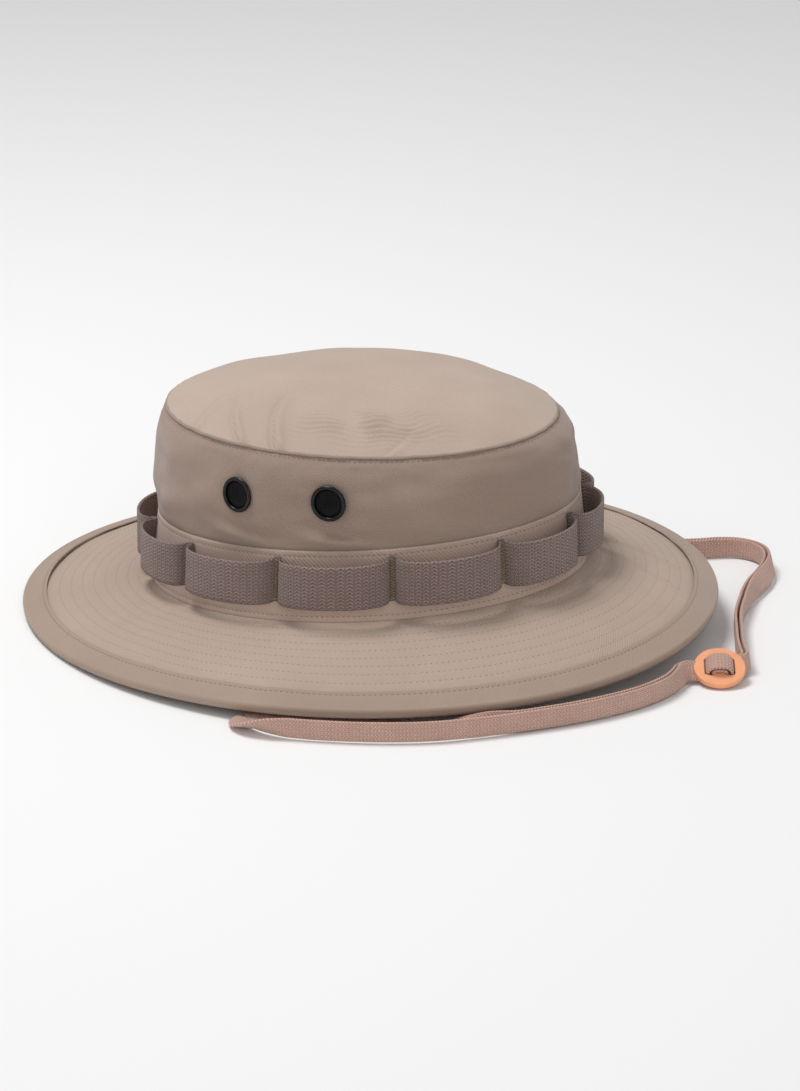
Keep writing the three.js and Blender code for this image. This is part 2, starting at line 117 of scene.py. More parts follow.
# ---- camera ----
CAMERA_AZIMUTH = 27.3
CAMERA_ELEVATION = 20
CAMERA_DISTANCE = 1800
CAMERA_LENS = 130.8
AIM_HEIGHT = 40
AIM_RIGHT = 14.6
AIM_DOWN = 9.5


def add_camera():
    azimuth = math.radians(CAMERA_AZIMUTH)
    elevation = math.radians(CAMERA_ELEVATION)
    back = Vector((
        math.sin(azimuth) * math.cos(elevation),
        -math.cos(azimuth) * math.cos(elevation),
        math.sin(elevation),
    ))
    right = Vector((math.cos(azimuth), math.sin(azimuth), 0))
    up = back.cross(right)
    aim = Vector((0, 0, AIM_HEIGHT)) + right * AIM_RIGHT - up * AIM_DOWN
    camera = bpy.data.objects.new("camera", bpy.data.cameras.new("camera"))
    camera.data.sensor_width = 36
    camera.data.lens = CAMERA_LENS
    turned = back.to_track_quat("Z", "Y").to_matrix().to_4x4()
    camera.matrix_world = Matrix.Translation((aim + back * CAMERA_DISTANCE) * MM) @ turned
    bpy.context.scene.collection.objects.link(camera)
    bpy.context.scene.camera = camera


# ---- material building ----
class Nodes:
    """A Principled material with short calls for the nodes that its patterns need."""

    def __init__(self, name, roughness, **settings):
        self.material = bpy.data.materials.new(name)
        self.material.use_nodes = True
        self.tree = self.material.node_tree
        self.shader = self.tree.nodes["Principled BSDF"]
        self.shader.inputs["Roughness"].default_value = roughness
        for socket, value in settings.items():
            self.shader.inputs[socket.replace("_", " ")].default_value = value

    def put(self, socket, value):
        if isinstance(value, bpy.types.NodeSocket):
            self.tree.links.new(value, socket)
        else:
            socket.default_value = value

    def math(self, operation, a, b=0.0, c=0.0):
        node = self.tree.nodes.new("ShaderNodeMath")
        node.operation = operation
        for socket, value in zip(node.inputs, (a, b, c)):
            self.put(socket, value)
        return node.outputs[0]

    def along_across(self):
        """The UV map's two directions, which hold millimetres along and across the cloth."""
        uv = self.tree.nodes.new("ShaderNodeUVMap")
        uv.uv_map = "cloth"
        parts = self.tree.nodes.new("ShaderNodeSeparateXYZ")
        self.put(parts.inputs[0], uv.outputs[0])
        return parts.outputs[0], parts.outputs[1]

    def wave(self, phase):
        """0 to 1 and back once for each whole number of phase."""
        swing = self.math("SINE", self.math("MULTIPLY", phase, 2 * math.pi))
        return self.math("MULTIPLY_ADD", swing, 0.5, 0.5)

    def blotches(self, size, detail):
        """Noise of about a given size in millimetres, from 0 to 1."""
        place = self.tree.nodes.new("ShaderNodeTexCoord")
        node = self.tree.nodes.new("ShaderNodeTexNoise")
        node.inputs["Scale"].default_value = 1 / (size * MM)
        node.inputs["Detail"].default_value = detail
        self.put(node.inputs["Vector"], place.outputs["Object"])
        return node.outputs["Fac"]

    def blend(self, factor, a, b):
        node = self.tree.nodes.new("ShaderNodeMix")
        node.data_type = "RGBA"
        self.put(node.inputs["Factor"], factor)
        self.put(node.inputs["A"], a)
        self.put(node.inputs["B"], b)
        return node.outputs["Result"]

    def bump(self, height, depth):
        node = self.tree.nodes.new("ShaderNodeBump")
        node.inputs["Strength"].default_value = 1.0
        node.inputs["Distance"].default_value = depth * MM
        self.put(node.inputs["Height"], height)
        return node.outputs[0]

    def finish(self, color, normal=None):
        self.put(self.shader.inputs["Base Color"], color)
        if normal is not None:
            self.put(self.shader.inputs["Normal"], normal)
        return self.material


def srgb(red, green, blue, shade=1.0):
    """A colour given from 0 to 255 as a screen shows it, in the linear values a shader takes."""
    linear = [((value / 255 + 0.055) / 1.055) ** 2.4 for value in (red, green, blue)]
    return (*(value * shade for value in linear), 1.0)


def twill(name, color, pitch=1.0):
    """Twill cotton: fine diagonal ribs, slubs and a slightly worn, uneven colour."""
    nodes = Nodes(name, 0.88, Sheen_Weight=0.25, Sheen_Roughness=0.5, Specular_IOR_Level=0.15)
    along, across = nodes.along_across()
    diagonal = nodes.math("ADD", along, across)
    ribs = nodes.wave(nodes.math("DIVIDE", diagonal, pitch * math.sqrt(2)))
    slubs = nodes.blotches(1.6, 2.0)
    height = nodes.math("MULTIPLY_ADD", slubs, 0.8, ribs)
    worn = nodes.math("MULTIPLY_ADD", nodes.blotches(38, 4.0), 1.6, -0.3)
    base = nodes.blend(worn, srgb(*color, 0.92), srgb(*color, 1.08))
    shaded = nodes.blend(nodes.math("MULTIPLY", ribs, 0.16), base, srgb(*color, 0.66))
    speckled = nodes.blend(nodes.math("MULTIPLY", slubs, 0.14), shaded, srgb(*color, 1.35))
    return nodes.finish(speckled, nodes.bump(height, 0.12))


def chevron(name, color, column, rise, depth, shade):
    """Woven tape: columns of V-shaped stitches, each a pair of leaves beside a spine, with the
    weave's low places darkened as painted shade.
    """
    nodes = Nodes(name, 0.85, Sheen_Weight=0.3, Sheen_Roughness=0.5, Specular_IOR_Level=0.2)
    along, across = nodes.along_across()
    in_column = nodes.math("FRACT", nodes.math("DIVIDE", along, column))
    fold = nodes.math("ABSOLUTE", nodes.math("SUBTRACT", in_column, 0.5))
    phase = nodes.math("MULTIPLY_ADD", fold, 1.5, nodes.math("DIVIDE", across, rise))
    to_edge = nodes.math("POWER", nodes.math("MULTIPLY", fold, 2.0), 4.0)
    leaf = nodes.math("MULTIPLY", nodes.wave(phase), nodes.math("SUBTRACT", 1.0, to_edge))
    spine = nodes.math("POWER", nodes.math("MULTIPLY_ADD", fold, -2.0, 1.0), 6.0)
    height = nodes.math("MULTIPLY_ADD", spine, -0.3, leaf)
    worn = nodes.blotches(9, 4.0)
    base = nodes.blend(worn, srgb(*color, 0.85), srgb(*color, 1.2))
    # Painted shade: the colour is pulled towards the shade colour where the weave lies low.
    groove_shade = nodes.math("MULTIPLY", nodes.math("SUBTRACT", 1.0, height), 0.5)
    dark = nodes.blend(nodes.math("MULTIPLY", groove_shade, 1.3), base, srgb(*color, shade))
    return nodes.finish(dark, nodes.bump(height, depth))


def thread(name, color):
    nodes = Nodes(name, 0.7, Sheen_Weight=0.2, Specular_IOR_Level=0.25)
    fibres = nodes.blotches(0.5, 2.0)
    return nodes.finish(
        nodes.blend(fibres, srgb(*color, 0.8), srgb(*color, 1.15)), nodes.bump(fibres, 0.08)
    )


def leather(name, color):
    nodes = Nodes(name, 0.55, Coat_Weight=0.08, Coat_Roughness=0.4, Specular_IOR_Level=0.4)
    pores = nodes.blotches(0.6, 4.0)
    patches = nodes.blotches(5, 3.0)
    base = nodes.blend(patches, srgb(*color, 0.85), srgb(*color, 1.12))
    worn = nodes.blend(nodes.math("MULTIPLY", pores, 0.3), base, srgb(*color, 0.75))
    return nodes.finish(worn, nodes.bump(pores, 0.12))


def enamel(name):
    nodes = Nodes(name, 0.3, Coat_Weight=0.12, Coat_Roughness=0.12, Specular_IOR_Level=0.3)
    scuffs = nodes.blotches(1.5, 4.0)
    color = nodes.blend(scuffs, srgb(4, 4, 5), srgb(11, 11, 12))
    return nodes.finish(color, nodes.bump(scuffs, 0.02))


def gauze(name):
    """Fine woven wire: round holes in rows, painted as dark pits of shade."""
    nodes = Nodes(name, 0.6, Specular_IOR_Level=0.2)
    along, across = nodes.along_across()
    wires = nodes.math(
        "MAXIMUM",
        nodes.wave(nodes.math("DIVIDE", along, 0.9)),
        nodes.wave(nodes.math("DIVIDE", across, 0.9)),
    )
    color = nodes.blend(wires, srgb(2, 2, 2), srgb(16, 16, 17))
    return nodes.finish(color, nodes.bump(wires, 0.25))


# The crown side and the band are copies of the top's cloth in other tones: the side is darker as
# painted shade, and the band is lighter as painted light against the shade that the webbing and
# wall cast on it.
TOP_TAN = twill("twill_top", (187, 167, 152))
SHADED_SIDE_TAN = twill("twill_side_painted_shade", (158, 137, 124))
BRIM_TAN = twill("twill_brim", (184, 163, 148))
LIT_BAND_TAN = twill("twill_band_painted_light", (196, 172, 158), pitch=1.3)
BINDING_TAN = twill("twill_binding", (170, 149, 134))
LINING_TAN = twill("twill_lining", (150, 131, 117))
PLAIN_CANVAS = twill("interlining_canvas", (215, 208, 196))
WEBBING_BROWN = chevron(
    "webbing", (172, 147, 139), column=2.1, rise=1.6, depth=0.7, shade=0.22
)
LACE_TAN = chevron("lace", (236, 192, 174), column=1.8, rise=1.5, depth=0.4, shade=0.42)
SEAM_THREAD = thread("seam_thread", (150, 126, 110))
TACK_THREAD = thread("tack_thread", (186, 160, 132))
KEEPER_LEATHER = leather("keeper_leather", (254, 176, 130))
BLACK_ENAMEL = enamel("black_enamel")
BLACK_GAUZE = gauze("black_gauze")


# ---- mesh building ----
def make_object(name, points, faces, uvs, material, body="hat"):
    """A smooth mesh from points in millimetres that rides on a body."""
    mesh = bpy.data.meshes.new(name)
    mesh.from_pydata([Vector(p) * MM for p in points], [], faces)
    layer = mesh.uv_layers.new(name="cloth")
    for loop in mesh.loops:
        layer.data[loop.index].uv = uvs[loop.vertex_index]
    mesh.shade_smooth()
    mesh.materials.append(material)
    thing = bpy.data.objects.new(name, mesh)
    bpy.context.scene.collection.objects.link(thing)
    if body:
        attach(thing, body)
    return thing


def grid(rows, columns, closed_rows, closed_columns, reverse=False):
    """Four-sided faces over rows times columns of points."""
    faces = []
    for i in range(rows if closed_rows else rows - 1):
        for j in range(columns if closed_columns else columns - 1):
            down, right = (i + 1) % rows, (j + 1) % columns
            face = [
                i * columns + j, down * columns + j, down * columns + right, i * columns + right,
            ]
            faces.append(face[::-1] if reverse else face)
    return faces


# ---- the shape every hat layer follows, as in the CAD model ----
RIM_RISE = {"mean": 5.5, "front": 7.2, "left": 3.2, "corners": 1.2, "sides": 1}
BRIM_BOW = 2
BRIM_SINK = 0.5
RIM_TOP = BRIM_STACK + BINDING_LIFT


def half_width(radius):
    return radius * (1 - NARROWING / max(radius, SEAM_RADIUS))


def crown_wave(t, height):
    towards_seam = clamp((height - BAND_TOP) / (SEAM_HEIGHT - BAND_TOP))
    return lerp(10.4, 2.2, towards_seam) * math.cos(t)


def rim_wave(t):
    once = RIM_RISE["front"] * math.cos(t) + RIM_RISE["left"] * math.sin(t)
    twice = RIM_RISE["corners"] * math.sin(2 * t) - RIM_RISE["sides"] * math.cos(2 * t)
    return max(0.0, RIM_RISE["mean"] + once + twice)


def hat_point(t, radius, height):
    on_brim = clamp((radius - BAND_OUTER) / BRIM_WIDTH)
    off_flat = clamp((radius - TOP_FLAT) / (SEAM_RADIUS - TOP_FLAT))
    wave = lerp(crown_wave(t, height), rim_wave(t), on_brim)
    slump = CROWN_SLUMP * clamp((height - BAND_TOP) / (SEAM_HEIGHT - BAND_TOP))
    return Vector((
        radius * math.cos(t) - slump,
        half_width(radius) * math.sin(t),
        height + wave * off_flat + LIFT,
    ))


def brim_top(radius):
    out = max(0.0, (radius - BAND_OUTER) / BRIM_WIDTH)
    bow = BRIM_BOW * 4 * out * (1 - out)
    return lerp(HEADLINE - BRIM_SINK, RIM_TOP, out) + bow


def band_face(height):
    return BAND_OUTER - BAND_LEAN * (height - HEADLINE)


def ring(name, profile, material, place=hat_point, around=AROUND):
    """A ring swept round the hat from a closed profile of (radius, height) points.

    Each profile point may add the name of a detail function, whose (outwards, upwards)
    answer for an angle, radius and height moves it.
    """
    points, uvs = [], []
    travelled = [0.0]
    for a, b in zip(profile, profile[1:]):
        travelled.append(travelled[-1] + math.hypot(b[0] - a[0], b[1] - a[1]))
    length = 2 * math.pi * (sum(p[0] for p in profile) / len(profile) - NARROWING / 2)
    for i in range(around):
        t = 2 * math.pi * i / around
        for j, (radius, height, *detail) in enumerate(profile):
            out, up = detail[0](t, radius, height) if detail else (0.0, 0.0)
            points.append(place(t, radius + out, height + up))
            uvs.append((length * i / around, travelled[j]))
    area = sum(a[0] * b[1] - b[0] * a[1] for a, b in zip(profile, profile[1:] + profile[:1]))
    faces = grid(around, len(profile), True, True, reverse=area < 0)
    thing = make_object(name, points, faces, uvs, material)
    close_seam(thing, around, length)
    return thing


def close_seam(thing, around, length):
    """The last column of faces ends at the ring's whole length in the UV map, not at 0."""
    layer = thing.data.uv_layers["cloth"]
    step = length / around
    for face in thing.data.polygons:
        loops = list(face.loop_indices)
        if max(layer.data[k].uv[0] for k in loops) > step * (around - 1.5):
            for k in loops:
                if layer.data[k].uv[0] < step / 2:
                    layer.data[k].uv = (length, layer.data[k].uv[1])


def steps(start, end, count):
    return [start + (end - start) * i / count for i in range(count + 1)]


# ---- stitches ----
STITCH_SHARE = 0.72


def stitch_row(name, line, pitch, thick, proud=0.12):
    """Short humped stitches along a line of (point, outward) pairs."""
    lengths = [0.0]
    for (a, _), (b, _) in zip(line, line[1:]):
        lengths.append(lengths[-1] + (b - a).length)
    count = int(lengths[-1] / pitch)
    points, faces, uvs = [], [], []
    index = 0
    for k in range(count):
        stations = []
        for part in (0.0, 0.5, 1.0):
            distance = (k + 0.14 + STITCH_SHARE * part) * lengths[-1] / count
            while index < len(line) - 2 and lengths[index + 1] < distance:
                index += 1
            share = (distance - lengths[index]) / max(1e-6, lengths[index + 1] - lengths[index])
            point = line[index][0].lerp(line[index + 1][0], share)
            outward = line[index][1].lerp(line[index + 1][1], share).normalized()
            stations.append((point, outward, part))
        along = (stations[2][0] - stations[0][0]).normalized()
        base = len(points)
        for point, outward, part in stations:
            side = along.cross(outward).normalized()
            hump = proud if part == 0.5 else proud - 0.3
            width = thick if part == 0.5 else thick * 0.6
            middle = point + outward * hump
            for corner in ((-width, 0), (0, width), (width, 0), (0, -width)):
                points.append(middle + side * corner[0] + outward * corner[1])
                uvs.append((k * pitch, corner[0]))
        for row in (0, 1):
            for c in range(4):
                a = base + row * 4 + c
                b = base + row * 4 + (c + 1) % 4
                faces.append([a, b, b + 4, a + 4])
        faces.append([base + 3, base + 2, base + 1, base])
        faces.append([base + 8, base + 9, base + 10, base + 11])
    make_object(name, points, faces, uvs, SEAM_THREAD)


def ring_line(radius, height, outward, detail=None):
    """Points round the hat with a fixed sense of outward, for a row of stitches."""
    count = 2 * AROUND
    line = []
    for i in range(count + 1):
        t = 2 * math.pi * i / count
        out, up = detail(t, radius, height) if detail else (0.0, 0.0)
        flat = Vector((math.cos(t), math.sin(t), 0)) * outward[0]
        line.append((
            hat_point(t, radius + out, height + up),
            (flat + Vector((0, 0, outward[1]))).normalized(),
        ))
    return line


# ---- brim ----
BRIM_EDGE = RIM - FABRIC - GAP
BINDING_WIDTH = 11
BINDING_START = RIM - BINDING_WIDTH
FIRST_ROW = 6
ROW_PITCH = 5.2
STITCH_ROWS = [BAND_OUTER + FIRST_ROW + ROW_PITCH * i for i in range(8)]

# Creases running out across the brim: angle at CREASE_PIVOT, and its turn for each millimetre.
BRIM_CREASES = [(31, -0.36), (19, -0.38)]
CREASE_PIVOT = 130
CREASE_START = 106


def brim_detail(t, radius, height):
    """Rows of stitching pull the brim down a little, with puckers between them."""
    open_brim = clamp((radius - BAND_OUTER - 1) / 3) * clamp((BRIM_EDGE - radius) / 2)
    groove = sum(0.13 * bell(radius - row, 0.8) for row in STITCH_ROWS)
    place = (radius * math.cos(t), half_width(radius) * math.sin(t), 0)
    pucker = 0.16 * soft_noise((place[0], place[1], radius), 6) * (radius > BAND_OUTER + 4)
    swell = 0.55 * soft_noise(place, 34, 3.1)
    crease = 0.0
    for middle, lean in BRIM_CREASES:
        off = turn_between(t, middle + lean * (radius - CREASE_PIVOT)) * radius / DEGREES
        started = clamp((radius - CREASE_START) / 8)
        crease += (1.1 * bell(off, 2.0) - 0.4 * bell(off + 4, 4)) * started
    crease *= clamp((BINDING_START - radius) / 6)
    return 0.0, (crease + pucker + swell - groove) * open_brim


def build_brim():
    inner = BAND_OUTER - FABRIC - 1
    top = [(r, brim_top(r), brim_detail) for r in steps(BAND_OUTER - 1.5, BRIM_EDGE, 100)]
    bottom = [(r, brim_top(r) - FABRIC, brim_detail) for r in steps(BRIM_EDGE, BAND_OUTER, 30)]
    start = [(inner, brim_top(BAND_OUTER) - FABRIC), (inner, brim_top(BAND_OUTER))]
    upper = ring("brim_top_cloth", top + bottom + start, BRIM_TAN)
    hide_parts("brim_upper")

    drop = BRIM_STACK
    top = [(r, brim_top(r) - drop + FABRIC) for r in steps(inner, BRIM_EDGE, 30)]
    bottom = [(r, brim_top(r) - drop) for r in steps(BRIM_EDGE, inner, 90)]
    under = ring("brim_under_cloth", top + bottom, LINING_TAN)
    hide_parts("brim_under")

    for i, radius in enumerate(STITCH_ROWS):
        line = ring_line(radius, brim_top(radius), (0.15, 1), brim_detail)
        stitch_row(f"brim_stitches_{i + 1}", line, 2.5, thick=0.17, proud=0.06)
        below = ring_line(radius, brim_top(radius) - drop, (0, -1))
        stitch_row(f"brim_under_stitches_{i + 1}", below, 2.5, thick=0.17, proud=0.06)


def binding_detail(t, radius, height):
    """The binding's inner edge lifts here and there, and the tape is a little uneven."""
    place = (radius * math.cos(t), half_width(radius) * math.sin(t), 0)
    inside = bell(radius - BINDING_START, 3.0)
    open_left = 1.3 * bell(turn_between(t, -168), 16)
    open_right = 0.8 * bell(turn_between(t, 28), 12)
    lifted = inside * (open_left + open_right + 0.3 * soft_noise(place, 22, 5.0))
    stitched = -0.3 * bell(radius - BINDING_START - 1.6, 0.6)
    return 0.0, lifted + stitched + 0.12 * soft_noise(place, 9, 2.0)


def build_binding():
    rounding = 2.0
    round_from = RIM - rounding
    inset = BRIM_EDGE + GAP
    above = BINDING_LIFT
    below = BRIM_STACK + BINDING_LIFT
    half = (above + below) / 2
    top = [(r, brim_top(r) + above, binding_detail) for r in steps(BINDING_START, round_from, 26)]
    edge = []
    for i in range(1, 12):
        angle = math.pi / 2 - math.pi * i / 12
        middle = brim_top(round_from) + above - half
        edge.append((round_from + rounding * math.cos(angle), middle + half * math.sin(angle)))
    bottom = [(r, brim_top(r) - below) for r in steps(round_from, BINDING_START, 12)]
    inside_low = [(r, brim_top(r) - BRIM_STACK - GAP) for r in steps(BINDING_START, inset, 6)]
    inside_top = [(r, brim_top(r) + GAP) for r in steps(inset, BINDING_START, 6)]
    profile = top + edge + bottom + inside_low + inside_top
    binding = ring("brim_binding_tape", profile, BINDING_TAN)
    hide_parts("brim_binding")
    row = BINDING_START + 1.6
    line = ring_line(row, brim_top(row) + above, (0.15, 1), binding_detail)
    stitch_row("binding_stitches", line, 2.4, thick=0.24)


# ---- crown ----
SHOULDER = [
    (98.9, BAND_TOP + 1), (98.9, 66), (98.3, 77), (96.9, 86), (94.6, 92),
    (SEAM_RADIUS, SEAM_HEIGHT - 1),
]
TOPSTITCH = 2.3
VENT_HEIGHT = 77.3
VENT_FORWARD = 1.3
VENT_SPREAD = 13.1
VENT_ANGLES = [
    side * (90 - VENT_FORWARD) + turn for side in (-1, 1) for turn in (-VENT_SPREAD, VENT_SPREAD)
]
BARREL = 6.4
BARREL_WALL = 0.4
BORE = BARREL - BARREL_WALL


def shoulder_radius(height):
    """Half length of the crown side's outer face, smoothed through its outline points."""
    line = [(band_face(h) - FABRIC - GAP, h) for h in (HEADLINE, BAND_TOP)] + SHOULDER
    if height <= line[0][1]:
        return line[0][0]
    for i in range(len(line) - 1):
        if height <= line[i + 1][1]:
            before, after = line[max(i - 1, 0)], line[min(i + 2, len(line) - 1)]
            (ra, ha), (rb, hb) = line[i], line[i + 1]
            part = (height - ha) / (hb - ha)
            slope_a = (rb - before[0]) / (hb - before[1])
            slope_b = (after[0] - ra) / (after[1] - ha)
            span = hb - ha
            p2, p3 = part * part, part ** 3
            return (
                (2 * p3 - 3 * p2 + 1) * ra + (p3 - 2 * p2 + part) * span * slope_a
                + (3 * p2 - 2 * p3) * rb + (p3 - p2) * span * slope_b
            )
    return line[-1][0]


def side_detail(t, radius, height):
    """Soft dents round the vents, and slack folds that run round the wall above the band."""
    place = (radius * math.cos(t), half_width(radius) * math.sin(t), height * 1.7)
    free = clamp((height - BAND_TOP) / 6) * clamp((SEAM_HEIGHT - height) / 6)
    slack = 2.0 * soft_noise(place, 30, 1.3) + 0.8 * soft_noise(place, 14, 4.0)
    dents = 0.0
    for middle in VENT_ANGLES:
        off = turn_between(t, middle) * radius / DEGREES
        away = math.hypot(off, height - VENT_HEIGHT)
        fold = height - (VENT_HEIGHT - 14 - 0.2 * off)
        dents -= 1.3 * bell(away, 11)
        dents -= 1.9 * bell(fold, 2.6) * bell(off - 4, 13)
        dents += 1.4 * bell(fold + 5, 3.2) * bell(off - 5, 15)
    stitched = -0.35 * bell(height - SEAM_HEIGHT + TOPSTITCH, 0.7)
    near_seam = bell(height - SEAM_HEIGHT + 3, 3.5)
    pucker = 0.45 * soft_noise((place[0], place[1], 0), 3.2) * near_seam
    return (slack + dents) * free + stitched + pucker, 0.0


def build_crown_side():
    foot = HEADLINE + 0.2
    outer = [(shoulder_radius(h), h, side_detail) for h in steps(foot, SEAM_HEIGHT - 1, 90)]
    inner = [
        (shoulder_radius(h) - FABRIC, h, side_detail) for h in steps(SEAM_HEIGHT - 1, foot, 40)
    ]
    side = ring("crown_side_cloth", outer + inner, SHADED_SIDE_TAN)
    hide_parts("crown_side")
    height = SEAM_HEIGHT - TOPSTITCH
    line = ring_line(shoulder_radius(height), height, (1, 0.3), side_detail)
    stitch_row("crown_seam_stitches", line, 2.3, thick=0.22)


def top_height(radius):
    part = radius / (SEAM_RADIUS - 0.2)
    return SEAM_HEIGHT + DOME_RISE * (1 - part ** 4)


# Creases drawn in from the top seam: angle at the seam, how far it turns, depth and reach.
TOP_CREASES = [
    (-104, -26, 2.6, 30), (-92, -19, 2.8, 44), (-124, -12, 1.6, 28), (-60, 16, 0.8, 24),
]
# Where the fine ripples lie, and how far apart and how high they are.
RIPPLE_ANGLE = -62
RIPPLE_RADIUS = 70
RIPPLE_PITCH = 3.4
RIPPLE_HEIGHT = 0.85


def top_detail(t, radius, height):
    """Slack cloth over the crown: broad swells, creases from the seam and patchy ripples."""
    loose = clamp((SEAM_RADIUS - radius) / 7) * clamp((radius - TOP_FLAT) / 12)
    place = (radius * math.cos(t), half_width(radius) * math.sin(t), 0)
    swell = 1.6 * soft_noise(place, 40, 7.0) + 1.0 * soft_noise(place, 18, 2.2)
    creases = 0.0
    for at_seam, inward_turn, depth, reach in TOP_CREASES:
        inwards = clamp((SEAM_RADIUS - radius) / reach)
        off = turn_between(t, at_seam + inward_turn * inwards) * radius / DEGREES
        creases += depth * (bell(off - 3, 3.2) - bell(off, 2.0)) * (1 - inwards) ** 0.7
    ripple_turn = turn_between(t, RIPPLE_ANGLE)
    ripple_zone = bell(ripple_turn, 24) * bell(radius - RIPPLE_RADIUS, 13)
    drawn = radius + 1.3 * math.sin(math.radians(ripple_turn) * 19)
    drawn += 3.0 * soft_noise(place, 13, 4.4)
    patchy = clamp(0.75 + 1.3 * soft_noise(place, 10, 9.1), 0.1, 1.2)
    ripples = RIPPLE_HEIGHT * math.sin(2 * math.pi * drawn / RIPPLE_PITCH) * ripple_zone * patchy
    return 0.0, swell * loose + (creases + ripples) * clamp((SEAM_RADIUS - radius) / 2)


def build_crown_top():
    around = 2 * AROUND
    radii = steps(SEAM_RADIUS - 0.2, 1.0, 120)
    points, uvs = [], []
    for level in (0.0, FABRIC):
        for i in range(around):
            t = 2 * math.pi * i / around
            for radius in radii:
                _, up = top_detail(t, radius, 0)
                point = hat_point(t, radius, top_height(radius) + up - level)
                points.append(point)
                uvs.append((point.x, point.y))
    count = around * len(radii)
    faces = grid(around, len(radii), True, False, reverse=True)
    faces += [[count + k for k in face[::-1]] for face in faces]
    for i in range(around):
        a, b = i * len(radii), (i + 1) % around * len(radii)
        faces.append([a, b, b + count, a + count])
    middles = []
    for level in (0.0, FABRIC):
        middles.append(len(points))
        middle = hat_point(0, 0, SEAM_HEIGHT + DOME_RISE - level)
        points.append(middle)
        uvs.append((middle.x, middle.y))
    for i in range(around):
        a = (i + 1) * len(radii) - 1
        b = ((i + 1) % around + 1) * len(radii) - 1
        faces.append([b, a, middles[0]])
        faces.append([a + count, b + count, middles[1]])
    top = make_object("crown_top_cloth", points, faces, uvs, TOP_TAN)
    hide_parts("crown_top")


def seam_detail(t, radius, height):
    place = (radius * math.cos(t), radius * math.sin(t), height)
    return 0.2 * soft_noise(place, 5, 6.0), 0.25 * soft_noise(place, 7, 8.0)


def build_seam_ridge():
    """The seam's rolled edge between the crown's side and top."""
    roll = 0.9
    sides = 14
    profile = []
    for i in range(sides):
        angle = 2 * math.pi * i / sides
        radius = SEAM_RADIUS - 0.4 + roll * math.cos(angle)
        profile.append((radius, SEAM_HEIGHT - 0.8 + roll * math.sin(angle), seam_detail))
    ring("crown_seam_ridge", profile, SHADED_SIDE_TAN)


# ---- band and sweatband ----
BAND_CLEARANCE = 0.03


def band_detail(t, radius, height):
    place = (radius * math.cos(t), half_width(radius) * math.sin(t), height)
    stitched = 0.22 * (bell(height - BAND_TOP + 2.2, 0.6) + bell(height - HEADLINE - 2, 0.6))
    slack = 0.16 * soft_noise(place, 12, 9.0)
    return slack - stitched, 0.0


def build_band():
    """The band reaches down to the brim's top face, so that no light shows under it."""
    foot = HEADLINE - BRIM_SINK + BAND_CLEARANCE
    outer = [(band_face(h), h, band_detail) for h in steps(foot, BAND_TOP, 56)]
    lip = [(band_face(BAND_TOP) - 0.45, BAND_TOP + 0.35)]
    inner = [(band_face(h) - FABRIC, h) for h in steps(BAND_TOP, foot, 12)]
    band = ring("hat_band_cloth", outer + lip + inner, LIT_BAND_TAN)
    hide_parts("hat_band")
    for name, height in (("top", BAND_TOP - 2.2), ("foot", HEADLINE + 2.0)):
        line = ring_line(band_face(height), height, (1, 0.1), band_detail)
        stitch_row(f"band_{name}_stitches", line, 2.4, thick=0.2)


def build_sweatband():
    inset = 2 * (FABRIC + GAP)
    foot, top = HEADLINE + 0.2, HEADLINE + 30
    outer = [(band_face(h) - inset, h) for h in steps(foot, top, 20)]
    inner = [(band_face(h) - inset - FABRIC, h) for h in steps(top, foot, 20)]
    lining = ring("sweatband_cloth", outer + inner, LINING_TAN)
    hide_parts("sweatband")
    height = top - 2
    line = ring_line(band_face(height) - inset - FABRIC, height, (-1, 0))
    stitch_row("sweatband_stitches", line, 2.6, thick=0.2)


# ---- webbing and its bar tacks ----
WEBBING_THICKNESS = 1.3
WEBBING_BULGE = 6.8
WEBBING_SAG = 1.4
WEBBING_RAISE = 8.6
WEBBING_FOOT = HEADLINE + WEBBING_RAISE
WEBBING_INNER = BAND_OUTER + GAP
TACK_MARGIN = 1 / 12
LOOP_FULLNESS = 0.6
LOOP_CROWDING = 0.12
LOOP_ANGLE = 2 * math.pi / LOOPS
TACK_TURNS = 15
TACK_HALF_WIDTH = 0.9


def webbing_point(t, radius, height):
    part = (t / LOOP_ANGLE) % 1
    opened = clamp((part - TACK_MARGIN) / (1 - 2 * TACK_MARGIN))
    bulge = math.sin(math.pi * opened) ** LOOP_FULLNESS if 0 < opened < 1 else 0.0
    crowded = t - LOOP_ANGLE * LOOP_CROWDING * math.sin(2 * math.pi * part)
    leaning = lerp(height - HEADLINE, WEBBING_RAISE, bulge)
    return hat_point(
        crowded, radius - BAND_LEAN * leaning + WEBBING_BULGE * bulge, height - WEBBING_SAG * bulge
    )


def build_webbing():
    inner, outer = WEBBING_INNER, WEBBING_INNER + WEBBING_THICKNESS
    top = WEBBING_FOOT + WEBBING_WIDTH
    face = [(outer, h) for h in steps(WEBBING_FOOT + 0.5, top - 0.5, 14)]
    back = [(inner, h) for h in steps(top - 0.5, WEBBING_FOOT + 0.5, 14)]
    middle = (inner + outer) / 2
    profile = face + [(middle, top)] + back + [(middle, WEBBING_FOOT)]
    webbing = ring(
        "branch_loops", profile, WEBBING_BROWN, webbing_point, LOOPS * 48
    )
    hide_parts("branch_loop_webbing")


